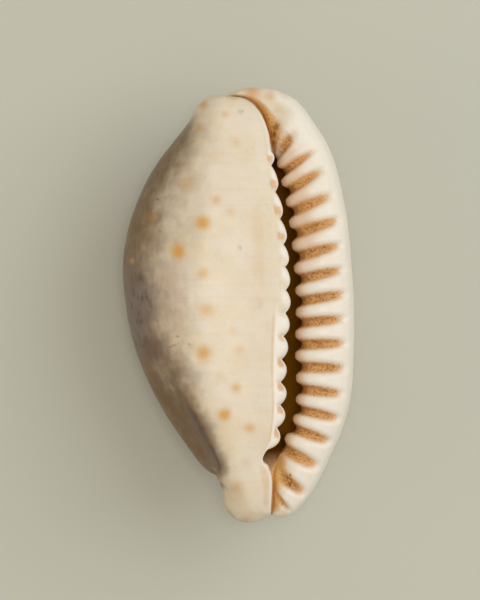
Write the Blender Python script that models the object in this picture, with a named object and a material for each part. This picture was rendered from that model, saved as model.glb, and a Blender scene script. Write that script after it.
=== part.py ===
"""Cowrie shell lying on its back, with the long toothed aperture up.

The shell is one lofted surface. Rails run from the posterior pole (far end, +Y) to the anterior
pole (near end, -Y), and their length is counted in rows, one row for each tooth. At every row the
section is a closed loop of quarter arcs that goes from rail to rail: over the outer lip, round the
back, up the left flank, over the inner lip, then into the aperture and round the hollow inside.
"""

import bmesh
import bpy
import numpy as np

# Driving dimensions, in millimetres
SHELL_LENGTH = 45.0
SHELL_WIDTH = 24.1
SHELL_HEIGHT = 19.4
WALL = 1.7
LIP_DEPTH = 4.0

# Flat spot on the back: how deep it cuts into the round back, and how high its crisp rim is
REST_FLAT_DEPTH = 0.7
REST_RIM_HEIGHT = 0.2

# Fineness of the loft: steps in each tooth, and steps in each quarter arc of the section
ROW_COUNT = 20
STEPS_PER_TOOTH = 4
ARC_STEPS = (5, 5, 7, 7, 6, 7, 3, 2, 2, 2, 4, 3, 2, 3)

# Order of the rails round the section; even ones are upright there, odd ones level
(LIP_EDGE, LIP_CREST, LIP_MARGIN, BACK, FLANK, BASE, INNER_LIP_EDGE,
 WHORL_BOTTOM, WHORL_SIDE, HOLLOW_ROOF, HOLLOW_LEFT, HOLLOW_BACK, HOLLOW_RIGHT, LIP_ROOF) = range(14)
RAIL_COUNT = 14

# Squareness of each quarter arc: 2 for an ellipse, and 1 for the straight slope beside a canal
CANAL_SQUARENESS = 1.2
ARC_SQUARENESS = (2.2, 2.3, 2.1, 2.0, 2.1, 2.5, 2.0, 2.0, 2.0, 2.0, 2.0, 2.0, 2.0, 2.2)

# Poles: across, along and height
POSTERIOR_POLE = (-1.2, 21.6, 14.0)
ANTERIOR_POLE = (3.5, -21.7, 14.5)

# Rails in plan, each station a row, a place across and a place along
LIP_EDGE_PLAN = (
    (0.5, 1.1, 21.4), (1, 2.6, 19.9), (1.5, 3.42, 17.6), (2, 3.74, 16.2), (2.5, 4.0, 15.4), (3, 4.38, 14.6),
    (4, 4.9, 12.7), (6, 5.7, 8.5), (8, 6.25, 3.8), (12, 6.35, -5.2), (14, 6.4, -9.7), (15, 6.1, -11.7),
    (16, 5.3, -13.7), (17, 4.25, -15.9), (17.6, 3.9, -17.4), (18.2, 3.8, -18.9), (19, 3.7, -20.6),
)
LIP_MARGIN_PLAN = (
    (0.5, 0.2, 22.3), (1, 2.2, 22.6), (2, 6.0, 21.4), (3, 8.7, 17.9), (4, 9.7, 16.0), (6, 11.2, 10.4),
    (8, 11.8, 5.2), (12, 12.1, -5.2), (14, 11.6, -10.6), (16, 9.7, -15.6), (17.5, 7.4, -19.8),
    (18.5, 5.7, -21.6), (19.3, 4.6, -22.0),
)
BACK_PLAN = ((3, -0.4, 17.5), (6, 0.4, 11.0), (10, 0.8, 0.5), (14, 1.0, -9.5), (17, 1.6, -15.8), (18.5, 2.2, -18.9))
FLANK_PLAN = (
    (0.5, -2.4, 21.7), (1, -3.6, 21.2), (2, -5.1, 19.0), (3, -6.7, 17.0), (4, -8.3, 15.0), (6, -10.8, 10.2),
    (8, -12.0, 4.8), (10, -11.7, -0.5), (12, -10.4, -5.6), (14, -8.1, -10.4), (16, -5.2, -14.8),
    (17.3, -3.1, -17.5), (18, -1.9, -18.5), (18.4, -1.5, -19.6), (18.9, -1.2, -21.2), (19.3, -0.2, -22.2),
    (19.7, 1.6, -22.5),
)
BASE_PLAN = (
    (0.5, -1.2, 21.2), (1, -1.2, 20.4), (3, -1.6, 16.5), (5, -2.6, 11.6), (8, -3.3, 3.9), (11, -3.0, -3.7),
    (14, -1.4, -11.2), (16, 0.2, -15.9), (18, 1.1, -20.0), (19, 1.7, -21.3),
)
INNER_LIP_EDGE_PLAN = (
    (0.5, 1.0, 21.2), (1, 2.4, 19.8), (1.5, 3.15, 18.0), (2, 3.4, 16.7), (3, 3.6, 15.2), (4, 4.0, 12.6),
    (6, 4.9, 7.2), (8, 5.2, 2.6), (12, 4.8, -6.7), (14, 4.6, -11.4), (15, 4.1, -13.8), (16, 2.9, -16.0),
    (16.5, 3.2, -16.6), (17, 3.5, -17.4), (18, 3.6, -19.1), (19, 3.5, -20.8),
)

# How far each rail rises above the line between the poles, with the top row, pointedness and
# fullness of its arch
RISE_LIP_EDGE = (1.6, 10.0, 2.2, 2.2)
RISE_LIP_CREST = (3.1, 10.0, 2.4, 2.6)
RISE_LIP_MARGIN = (-0.5, 10.0, 2.0, 1.0)
RISE_BACK = (-14.2, 9.8, 2.1, 1.25)
RISE_FLANK = (-4.6, 9.6, 2.0, 1.2)
RISE_BASE = (4.9, 9.6, 2.4, 3.0)
RISE_INNER_LIP_EDGE = (3.3, 9.6, 2.4, 2.6)
LIP_CREST_SHARE = 0.45

# Canals at both ends of the slit, where the outer lip's edge dips and the hollow is closed below
CANAL_DIP = 0.2
POSTERIOR_CANAL_ROWS = (0.2, 1.0, 2.0, 3.4)
ANTERIOR_CANAL_ROWS = (16.0, 17.2, 19.0, 19.8)

# Hollow under the inner lip: shares of the way from the lip's edge to the flank, and depths below it
WHORL_BOTTOM_SHARE = 0.32
WHORL_BOTTOM_DEPTH = 7.6
WHORL_SIDE_SHARE = 0.58
WHORL_SIDE_DEPTH = 4.6
HOLLOW_ROOF_SHARE = 0.72
HOLLOW_ROOF_DEPTH = 1.9
HOLLOW_LEFT_SHARE = 0.9
HOLLOW_BACK_SHARE = 0.9

# Groove that the hollow closes to in the canals: for each rail, shares of its way across and down
GROOVE_DEPTH = 0.5
GROOVE_ARCH = (ROW_COUNT / 2, 2.0, 2.0)
HOLLOW_ROWS = (2.2, 4.5, 15.6, 17.0)
GROOVE_PLACES = ((0, 0.25), (0, 0.5), (0, 0.75), (0, 1), (0.5, 1), (1, 1), (1, 0.5))

# Hollow behind the outer lip: shares of the way from the lip's edge to its margin, and a further depth
LIP_ROOF_SHARE = 0.36
HOLLOW_RIGHT_SHARE = 0.62
HOLLOW_RIGHT_DEPTH = 3.0

# Teeth: heights, and the stretches of rows and of the section that they take
OUTER_TOOTH_HEIGHT = 0.36
OUTER_TOOTH_ROWS = (1.6, 2.3, 18.2, 18.9)
OUTER_TOOTH_STRETCH = (-0.45, -0.1, 0.8, 1.6)
CANAL_TOOTH_START = (0.15, 0.65)
INNER_TOOTH_HEIGHT = 0.26
INNER_TOOTH_ROWS = (3.2, 4.0, 15.2, 16.0)
INNER_TOOTH_STRETCH = (5.5, 5.8, 6.2, 6.6)

# Ledge that parts the flank from the thick inner lip near the anterior end
LEDGE_DEPTH = 0.75
LEDGE_ROWS = (11.5, 14.0, 17.4, 18.3)
LEDGE_STRETCH = (4.05, 4.4, 4.5, 4.72)

MILLIMETRE = 0.001
NORMAL_STEP = 0.02
SHELL_COLOUR = (0.76, 0.65, 0.48, 1.0)
SHELL_ROUGHNESS = 0.3


def smooth_curve(rows, start, stations, end):
    """Return the plan curve through the stations, with a parabola's slope at each of them."""
    points = np.array([(0.0, *start[:2]), *stations, (float(ROW_COUNT), *end[:2])])
    at, places = points[:, 0], points[:, 1:]
    steps = np.diff(at)[:, None]
    slopes = np.diff(places, axis=0) / steps
    middle = (slopes[:-1] * steps[1:] + slopes[1:] * steps[:-1]) / (steps[1:] + steps[:-1])
    tangents = np.vstack((2 * slopes[:1] - middle[:1], middle, 2 * slopes[-1:] - middle[-1:]))
    piece = np.clip(np.searchsorted(at, rows, side="right") - 1, 0, len(steps) - 1)
    step = steps[piece]
    t = (rows - at[piece])[:, None] / step
    from_start = places[piece] * (2 * t**3 - 3 * t**2 + 1) + tangents[piece] * step * (t**3 - 2 * t**2 + t)
    from_end = places[piece + 1] * (3 * t**2 - 2 * t**3) + tangents[piece + 1] * step * (t**3 - t**2)
    return from_start + from_end


def arch(rows, top_row, pointedness, fullness):
    """Return an arch over the shell's length: 0 at both poles and 1 at its top row."""
    half = np.where(rows < top_row, top_row, ROW_COUNT - top_row)
    away = np.clip(np.abs(rows - top_row) / half, 0.0, 1.0)
    return (1.0 - away**pointedness) ** (1.0 / fullness)


def ramp(values, low, high):
    """Return a soft step from 0 at low to 1 at high."""
    t = np.clip((values - low) / (high - low), 0.0, 1.0)
    return t * t * (3.0 - 2.0 * t)


def band(values, limits):
    """Return 1 between the two middle limits, falling softly to 0 at the outer ones."""
    return ramp(values, limits[0], limits[1]) * (1.0 - ramp(values, limits[2], limits[3]))


def blend(a, b, share):
    """Return the point that lies the given share of the way from a to b."""
    return a + (b - a) * share


def raised(rows, plan, rise):
    """Give a plan curve its height: the line between the poles plus the rail's arch."""
    line = blend(POSTERIOR_POLE[2], ANTERIOR_POLE[2], rows / ROW_COUNT)
    return np.column_stack((plan, line + rise[0] * arch(rows, *rise[1:])))


def canal_share(rows):
    """Return 1 in the canals at both ends of the slit and 0 between them."""
    return band(rows, POSTERIOR_CANAL_ROWS) + band(rows, ANTERIOR_CANAL_ROWS)


def outer_rails(rows):
    """Return the rails of the outside, from the outer lip's edge round to the inner lip's edge."""
    plans = [
        smooth_curve(rows, POSTERIOR_POLE, stations, ANTERIOR_POLE)
        for stations in (LIP_EDGE_PLAN, LIP_MARGIN_PLAN, BACK_PLAN, FLANK_PLAN, BASE_PLAN, INNER_LIP_EDGE_PLAN)
    ]
    plans.insert(LIP_CREST, blend(plans[0], plans[1], LIP_CREST_SHARE))
    rises = (RISE_LIP_EDGE, RISE_LIP_CREST, RISE_LIP_MARGIN, RISE_BACK, RISE_FLANK, RISE_BASE, RISE_INNER_LIP_EDGE)
    rails = [raised(rows, plan, rise) for plan, rise in zip(plans, rises)]
    rails[LIP_EDGE][:, 2] -= CANAL_DIP * canal_share(rows)
    return rails


def beside(start, end, share, depth):
    """Return the rail a share of the way from start to end, at the depth below the start."""
    rail = blend(start, end, share)
    rail[:, 2] = start[:, 2] - depth
    return rail


def inner_rails(rows, rails):
    """Return the rails of the hollow, which closes to a shallow groove between the lips in both canals."""
    edge, margin, flank, inner_edge = (rails[i] for i in (LIP_EDGE, LIP_MARGIN, FLANK, INNER_LIP_EDGE))
    size = arch(rows, *GROOVE_ARCH)
    full = (
        beside(inner_edge, flank, WHORL_BOTTOM_SHARE, WHORL_BOTTOM_DEPTH * size),
        beside(inner_edge, flank, WHORL_SIDE_SHARE, WHORL_SIDE_DEPTH * size),
        beside(inner_edge, flank, HOLLOW_ROOF_SHARE, HOLLOW_ROOF_DEPTH * size),
        beside(flank, inner_edge, 1.0 - HOLLOW_LEFT_SHARE, 0.0),
        beside(rails[BACK], rails[BASE], 1.0 - HOLLOW_BACK_SHARE, -WALL * size),
        beside(edge, margin, HOLLOW_RIGHT_SHARE, (LIP_DEPTH + HOLLOW_RIGHT_DEPTH) * size),
        beside(edge, margin, LIP_ROOF_SHARE, LIP_DEPTH * size),
    )
    openness = band(rows, HOLLOW_ROWS)[:, None]
    floor_height = edge[:, 2] - GROOVE_DEPTH * size
    hollow = []
    for (across, down), rail in zip(GROOVE_PLACES, full):
        groove = blend(inner_edge, edge, across)
        groove[:, 2] = blend(groove[:, 2], floor_height, down)
        hollow.append(blend(groove, rail, openness))
    return hollow


def shell_points(rows, places):
    """Return the smooth shell, without relief, on a grid of rows and places round the section.

    Each arc is a quarter of a superellipse in which the plan and the height move in turn, so the
    section is upright at the even rails and level at the odd ones.
    """
    outside = outer_rails(rows)
    rails = np.array(outside + inner_rails(rows, outside))
    turn = np.floor(places)
    quarter = (places - turn) * np.pi / 2
    first = turn.astype(int) % RAIL_COUNT
    beside_canal = canal_share(rows)[:, None] * (first == LIP_EDGE)
    power = 2.0 / blend(np.array(ARC_SQUARENESS)[first], CANAL_SQUARENESS, beside_canal)
    late = 1.0 - np.clip(np.cos(quarter), 0.0, 1.0) ** power
    early = np.clip(np.sin(quarter), 0.0, 1.0) ** power
    upright_first = first % 2 == 0
    plan_share = np.where(upright_first, late, early)[..., None]
    height_share = np.where(upright_first, early, late)[..., None]
    start = rails[first].transpose(1, 0, 2)
    end = rails[(first + 1) % RAIL_COUNT].transpose(1, 0, 2)
    plan = blend(start[..., :2], end[..., :2], plan_share)
    height = blend(start[..., 2:], end[..., 2:], height_share)
    return np.concatenate((plan, height), axis=2)


def shell_normals(rows, places):
    """Return the outward normals, from small steps along the rows and round the section."""
    along = shell_points(rows + NORMAL_STEP, places) - shell_points(rows - NORMAL_STEP, places)
    around = shell_points(rows, places + NORMAL_STEP) - shell_points(rows, places - NORMAL_STEP)
    normals = np.cross(along, around)
    return normals / np.linalg.norm(normals, axis=2, keepdims=True)


def relief(rows, places):
    """Return the height of the teeth and of the ledge above the smooth shell."""
    tooth = np.cos(2 * np.pi * rows)[:, None]
    before_edge = np.where(places > RAIL_COUNT - 1, places - RAIL_COUNT, places)
    outer = band(rows, OUTER_TOOTH_ROWS)[:, None] * band(before_edge, OUTER_TOOTH_STRETCH)
    outer *= 1.0 - canal_share(rows)[:, None] * (1.0 - ramp(before_edge, *CANAL_TOOTH_START))
    inner = band(rows, INNER_TOOTH_ROWS)[:, None] * band(places, INNER_TOOTH_STRETCH)
    ledge = band(rows, LEDGE_ROWS)[:, None] * band(places, LEDGE_STRETCH)
    teeth = tooth * (OUTER_TOOTH_HEIGHT * outer + INNER_TOOTH_HEIGHT * inner)
    return teeth - LEDGE_DEPTH * ledge


def fit_to_size(points):
    """Stretch the shell to its driving dimensions, flatten its rest and centre it above the origin."""
    flat = points.reshape(-1, 3)
    low, high = flat.min(axis=0), flat.max(axis=0)
    target = np.array((SHELL_WIDTH, SHELL_LENGTH, SHELL_HEIGHT + REST_FLAT_DEPTH))
    fitted = (points - (low + high) / 2) * target / (high - low)
    fitted[..., 2] += target[2] / 2 - REST_FLAT_DEPTH
    fitted[..., 2] = np.where(fitted[..., 2] < REST_RIM_HEIGHT, 0.0, fitted[..., 2])
    return fitted


def section_places():
    """Return the places round the section, counted in rails."""
    return np.concatenate([rail + np.arange(steps) / steps for rail, steps in enumerate(ARC_STEPS)])


def build_mesh(name):
    """Loft the shell: a ring of points for each row, and a single point at each pole."""
    rows = np.arange(1, ROW_COUNT * STEPS_PER_TOOTH) / STEPS_PER_TOOTH
    places = section_places()
    rings = shell_points(rows, places) + shell_normals(rows, places) * relief(rows, places)[..., None]
    poles = np.array((POSTERIOR_POLE, ANTERIOR_POLE))
    points = fit_to_size(np.vstack((rings.reshape(-1, 3), poles))) * MILLIMETRE

    bm = bmesh.new()
    verts = [bm.verts.new(point) for point in points]
    around = len(places)
    for ring in range(len(rows) - 1):
        for step in range(around):
            here = ring * around + step
            beside = ring * around + (step + 1) % around
            bm.faces.new((verts[here], verts[here + around], verts[beside + around], verts[beside]))
    for step in range(around):
        beside = (step + 1) % around
        last = (len(rows) - 1) * around
        bm.faces.new((verts[-2], verts[step], verts[beside]))
        bm.faces.new((verts[-1], verts[last + beside], verts[last + step]))
    bmesh.ops.triangulate(bm, faces=bm.faces)
    bmesh.ops.recalc_face_normals(bm, faces=bm.faces)
    mesh = bpy.data.meshes.new(name)
    bm.to_mesh(mesh)
    bm.free()
    mesh.shade_smooth()
    return mesh


def shell_material():
    """Return the glossy cream porcelain of a worn cowrie."""
    material = bpy.data.materials.new("cowrie_porcelain")
    material.use_nodes = True
    surface = material.node_tree.nodes["Principled BSDF"]
    surface.inputs["Base Color"].default_value = SHELL_COLOUR
    surface.inputs["Roughness"].default_value = SHELL_ROUGHNESS
    surface.inputs["Metallic"].default_value = 0.0
    return material


def main():
    """Clear the scene and model the shell."""
    for old in list(bpy.data.objects):
        bpy.data.objects.remove(old, do_unlink=True)
    shell = bpy.data.objects.new("shell", build_mesh("shell"))
    shell.data.materials.append(shell_material())
    bpy.context.scene.collection.objects.link(shell)


main()
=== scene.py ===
"""Worn cowrie shell lying on its back on a pale floor, seen from straight above.

The shell is one surface on a grid of rows and places. Rows run from the posterior pole (far end,
+Y) to the anterior pole (near end, -Y), one row for each tooth. Places run round the section, from
the outer lip's edge over the outside to the inner lip's edge, then through the hollow inside.
Lengths in the shape are in millimetres, and the finished mesh is in metres.
"""

import itertools
import math

import bpy
import numpy as np
from bpy.props import FloatProperty, FloatVectorProperty, PointerProperty
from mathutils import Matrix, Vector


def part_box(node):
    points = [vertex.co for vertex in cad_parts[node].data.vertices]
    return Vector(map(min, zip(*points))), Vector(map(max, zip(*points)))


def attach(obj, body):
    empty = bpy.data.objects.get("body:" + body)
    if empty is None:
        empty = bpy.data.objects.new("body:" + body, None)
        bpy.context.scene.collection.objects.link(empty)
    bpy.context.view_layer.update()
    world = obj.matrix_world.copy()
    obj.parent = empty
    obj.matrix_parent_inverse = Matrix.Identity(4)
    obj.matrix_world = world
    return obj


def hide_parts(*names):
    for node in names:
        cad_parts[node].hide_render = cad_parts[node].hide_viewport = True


bl_info = {
    "name": "Worn Cowrie Shell",
    "version": (1, 0, 0),
    "blender": (4, 5, 0),
    "location": "View3D > Sidebar > Cowrie",
    "description": "Builds a worn cowrie shell with toothed lips, its glaze and a soft studio stage",
    "category": "Add Mesh",
}

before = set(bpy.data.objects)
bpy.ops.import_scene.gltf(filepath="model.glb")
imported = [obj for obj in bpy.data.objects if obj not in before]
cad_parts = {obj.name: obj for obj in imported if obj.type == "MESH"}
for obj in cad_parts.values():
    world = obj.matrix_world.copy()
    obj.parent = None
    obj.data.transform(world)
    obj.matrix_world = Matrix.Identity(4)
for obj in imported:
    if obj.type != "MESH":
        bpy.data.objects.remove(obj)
CAD_LOW, CAD_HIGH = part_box("shell")
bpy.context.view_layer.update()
MILLIMETRE = 0.001

# Grid: rows, of which each tooth has one, steps in each row, and steps in each quarter arc of the
# section
ROW_COUNT = 20
STEPS_PER_TOOTH = 20
ARC_STEPS = (32, 34, 18, 18, 34, 44, 14, 5, 5, 5, 6, 5, 5, 10)

# Order of the rails round the section; even ones are upright there, odd ones level
(LIP_EDGE, LIP_CREST, LIP_MARGIN, BACK, FLANK, BASE, INNER_LIP_EDGE,
 WHORL_BOTTOM, WHORL_SIDE, HOLLOW_ROOF, HOLLOW_LEFT, HOLLOW_BACK, HOLLOW_RIGHT, LIP_ROOF) = range(14)
RAIL_COUNT = 14

# Squareness of each quarter arc: 2 for an ellipse, and 1 for the straight slope beside a canal
CANAL_SQUARENESS = 1.2
ARC_SQUARENESS = (2.2, 2.3, 2.1, 2.0, 2.1, 2.5, 2.0, 2.0, 2.0, 2.0, 2.0, 2.0, 2.0, 2.2)

# Poles: across, along and height
POSTERIOR_POLE = (-1.2, 21.6, 14.0)
ANTERIOR_POLE = (3.5, -21.7, 14.5)

# Rails in plan, each station a row, a place across and a place along
LIP_EDGE_PLAN = (
    (0.5, 1.1, 21.4), (1, 2.6, 19.9), (1.5, 3.42, 17.6), (2, 3.74, 16.2), (2.5, 4.0, 15.4), (3, 4.38, 14.6),
    (4, 4.9, 12.7), (6, 5.7, 8.5), (8, 6.25, 3.8), (12, 6.35, -5.2), (14, 6.4, -9.7), (15, 6.1, -11.7),
    (16, 5.3, -13.7), (17, 4.25, -15.9), (17.6, 3.9, -17.4), (18.2, 3.8, -18.9), (19, 3.7, -20.6),
)
LIP_MARGIN_PLAN = (
    (0.5, 0.2, 22.3), (1, 2.2, 22.6), (2, 6.0, 21.4), (3, 8.7, 17.9), (4, 9.7, 16.0), (6, 11.2, 10.4),
    (8, 11.8, 5.2), (12, 12.1, -5.2), (14, 11.6, -10.6), (16, 9.7, -15.6), (17.5, 7.4, -19.8),
    (18.5, 5.7, -21.6), (19.3, 4.6, -22.0),
)
BACK_PLAN = (
    (3, -0.4, 17.5), (6, 0.4, 11.0), (10, 0.8, 0.5), (14, 1.0, -9.5), (17, 1.6, -15.8), (18.5, 2.2, -18.9),
)
FLANK_PLAN = (
    (0.5, -2.4, 21.7), (1, -3.6, 21.2), (2, -5.1, 19.0), (3, -6.7, 17.0), (4, -8.3, 15.0), (6, -10.8, 10.2),
    (8, -12.0, 4.8), (10, -11.7, -0.5), (12, -10.4, -5.6), (14, -8.1, -10.4), (16, -5.2, -14.8),
    (17.3, -3.1, -17.5), (18, -1.9, -18.5), (18.4, -1.5, -19.6), (18.9, -1.2, -21.2), (19.3, -0.2, -22.2),
    (19.7, 1.6, -22.5),
)
BASE_PLAN = (
    (0.5, -1.2, 21.2), (1, -1.2, 20.4), (3, -1.6, 16.5), (5, -2.6, 11.6), (8, -3.3, 3.9), (11, -3.0, -3.7),
    (14, -1.4, -11.2), (16, 0.2, -15.9), (18, 1.1, -20.0), (19, 1.7, -21.3),
)
INNER_LIP_EDGE_PLAN = (
    (0.5, 1.0, 21.2), (1, 2.4, 19.8), (1.5, 3.15, 18.0), (2, 3.4, 16.7), (3, 3.6, 15.2), (4, 4.0, 12.6),
    (6, 4.9, 7.2), (8, 5.2, 2.6), (12, 4.8, -6.7), (14, 4.6, -11.4), (15, 4.1, -13.8), (16, 2.9, -16.0),
    (16.5, 3.2, -16.6), (17, 3.5, -17.4), (18, 3.6, -19.1), (19, 3.5, -20.8),
)

# How far each rail rises above the line between the poles, with the top row, pointedness and
# fullness of its arch
RISE_LIP_EDGE = (1.6, 10.0, 2.2, 2.2)
RISE_LIP_CREST = (3.1, 10.0, 2.4, 2.6)
RISE_LIP_MARGIN = (-0.5, 10.0, 2.0, 1.0)
RISE_BACK = (-14.2, 9.8, 2.1, 1.25)
RISE_FLANK = (-4.6, 9.6, 2.0, 1.2)
RISE_BASE = (4.9, 9.6, 2.4, 3.0)
RISE_INNER_LIP_EDGE = (3.3, 9.6, 2.4, 2.6)
LIP_CREST_SHARE = 0.45

# Canals at both ends of the slit, where the outer lip's edge dips and the hollow is closed below
CANAL_DIP = 0.2
POSTERIOR_CANAL_ROWS = (0.2, 1.0, 2.0, 3.4)
ANTERIOR_CANAL_ROWS = (16.0, 17.2, 19.0, 19.8)

# Thickness of the wall, depth of the outer lip, how deep the rest flat cuts into the round back, and
# the place from which the section is counted back from the outer lip's edge
WALL = 1.7
LIP_DEPTH = 4.0
REST_FLAT_DEPTH = 0.7
HOLLOW_START = 6.7

# Hollow under the inner lip: shares of the way from the lip's edge to the flank, and depths below it
WHORL_BOTTOM_SHARE = 0.32
WHORL_BOTTOM_DEPTH = 7.6
WHORL_SIDE_SHARE = 0.58
WHORL_SIDE_DEPTH = 4.6
HOLLOW_ROOF_SHARE = 0.72
HOLLOW_ROOF_DEPTH = 1.9
HOLLOW_LEFT_SHARE = 0.9
HOLLOW_BACK_SHARE = 0.9

# Groove that the hollow closes to in the canals: for each rail, shares of its way across and down
GROOVE_DEPTH = 0.5
GROOVE_ARCH = (ROW_COUNT / 2, 2.0, 2.0)
HOLLOW_ROWS = (2.2, 4.5, 15.6, 17.0)
GROOVE_PLACES = ((0, 0.25), (0, 0.5), (0, 0.75), (0, 1), (0.5, 1), (1, 1), (1, 0.5))

# Hollow behind the outer lip: shares of the way from the lip's edge to its margin, and a further depth
LIP_ROOF_SHARE = 0.36
HOLLOW_RIGHT_SHARE = 0.62
HOLLOW_RIGHT_DEPTH = 3.0

# Outer lip's teeth: where they are, how far out the groove runs at a row and how much that differs
# from one to the next, how its end closes and how far beyond it that is followed, and the levels of a
# ridge's cosine between which it rises
OUTER_TOOTH_ROWS = (1.6, 2.3, 18.2, 18.9)
OUTER_TOOTH_STRETCH = (-0.45, -0.1, 1.3, 1.8)
CANAL_TOOTH_START = (0.15, 0.65)
GROOVE_REACH = ((2.0, 1.15), (3.0, 1.2), (6.0, 1.5), (17.0, 1.55))
GROOVE_REACH_CHANGE = 0.05
GROOVE_REACH_TURN = 2.3
GROOVE_END_POWER = 5.0
GROOVE_END_RISE = 1.5
GROOVE_END_LIMIT = 1.5
RIDGE_SHAPE_LEVELS = (-1.25, 1.0)
RIDGE_COLOUR_LEVELS = (-0.8, 0.55)

# Inner lip's teeth: where they are, the stretches that they take at the two ends, where in a tooth
# its notch lies at the two ends, and how much deeper the notches grow towards the anterior end
INNER_TOOTH_ROWS = (2.4, 2.9, 15.7, 16.4)
LAST_NOTCH_ROW = 15.52
INNER_TOOTH_STRETCH_POSTERIOR = (5.72, 5.92, 6.25, 6.6)
INNER_TOOTH_STRETCH_ANTERIOR = (5.6, 5.85, 6.25, 6.6)
NOTCH_PHASES = (0.33, 0.52)
NOTCH_PHASE_ROWS = (4.0, 12.0)
LOBE_ROUNDNESS = 0.75
DEEP_NOTCH_ROWS = (7.0, 13.0)
DEEP_NOTCH_GAIN = 0.85

# Hollows beside the inner lip's notches: depth, how many rows they lie before the notch at the two
# ends, half length in rows, the stretch of the section, and the rows where they are stained
POCKET_DEPTH = 0.13
POCKET_LEADS = (0.25, -0.22)
POCKET_HALF_LENGTH = 0.2
POCKET_STRETCH = (5.64, 5.74, 5.84, 5.94)
POCKET_ROWS_POSTERIOR = (2.4, 3.0, 5.6, 7.6)
POCKET_ROWS_ANTERIOR = (9.5, 11.5, 15.5, 16.0)

# Painted shadow: a dark line along the posterior side of each of the outer lip's grooves, where the
# ridge beside it shades the groove: strength, shares of a tooth and rows
SHADE_STRENGTH = 0.6
SHADE_PHASES = (0.2, 0.3, 0.36, 0.6)
SHADE_ROWS = (5.0, 8.0, 15.5, 16.5)

# Ledge that parts the flank from the thick inner lip near the anterior end, and how far and in which
# rows it bends towards the flank's outline
LEDGE_ROWS = (11.5, 14.0, 17.4, 18.2)
LEDGE_STRETCH = (4.05, 4.4, 4.5, 4.72)
LEDGE_BEND = 0.34
LEDGE_BEND_ROWS = (16.4, 18.0)

# Shallow groove beside the inner lip's edge at the anterior end
END_GROOVE_DEPTH = 0.16
END_GROOVE_ROWS = (15.9, 17.0, 18.6, 19.6)
END_GROOVE_STRETCH = (5.26, 5.48, 5.6, 5.74)

# Raised band along the inner lip's edge
LIP_BAND_HEIGHT = 0.07
LIP_BAND_ROWS = (7.0, 10.0, 16.0, 17.0)
LIP_BAND_STRETCH = (5.57, 5.63, 6.2, 6.5)

# Slow waves on the whole surface: height, width, and the share and fineness of the smaller ones
WAVE_HEIGHT = 0.05
WAVE_WIDTH = 3.6
SMALL_WAVE_SHARE = 0.4
SMALL_WAVE_FINENESS = 2.6

# Noise: large odd factors and shifts that scramble the number of a cube's corner, kept to 32 bits
NOISE_FACTORS = (374761393, 668265263, 1274126177)
NOISE_SHIFTS = (13, 16)
NOISE_BITS = 0xFFFFFFFF

# Step over the grid, in rows and in places, by which a normal is measured
NORMAL_STEP = 0.02

# Stretches of the section, counted from the outer lip's edge: the two that the round marks lie on,
# the whole outside, the hollow, and the grooves' inner ends near the slit, darkened as thick dirt and
# as painted shade
LIP_TOP_STRETCH = (-0.3, -0.1, 1.95, 2.3)
BASE_TOP_STRETCH = (3.9, 4.15, 6.1, 6.3)
OUTSIDE_STRETCH = (-0.5, -0.1, 6.1, 6.4)
INSIDE_STRETCH = (-7.6, -7.25, -0.9, -0.35)
DEEP_STRETCH = (-0.9, -0.4, 0.1, 1.0)

# Value of the inside mask past which a face is bare, how pale the ridges are, and how much of the
# inner lip's paleness a pocket takes away
BARE_SHARE = 0.35
RIDGE_PALENESS = 0.65
POCKET_DULLING = 0.5

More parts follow.
